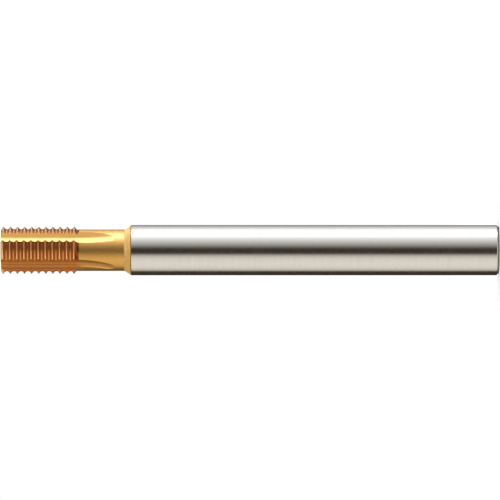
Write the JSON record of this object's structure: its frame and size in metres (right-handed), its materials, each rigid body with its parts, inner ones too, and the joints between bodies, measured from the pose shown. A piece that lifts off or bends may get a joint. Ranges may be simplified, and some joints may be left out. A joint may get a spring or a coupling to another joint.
{
  "type": "thread mill",
  "caption": "Solid carbide thread mill: plain round shank, slim neck and straight-fluted cutting end with rings of teeth, gold coated, standing on its shank end.",
  "frame": {"origin": "centre of the flat end of the shank, on which the tool stands", "axes": "+Z along the tool's axis towards the cutting tip; the tool cuts as it turns about +Z, and the land that faces -Y has its cutting edge on its +X side"},
  "size_m": [0.01, 0.01, 0.099],
  "materials": {
    "ground_carbide": "satin"
  },
  "bodies": {
    "root": {"thread_mill": "ground_carbide"}
  },
  "joints": []
}
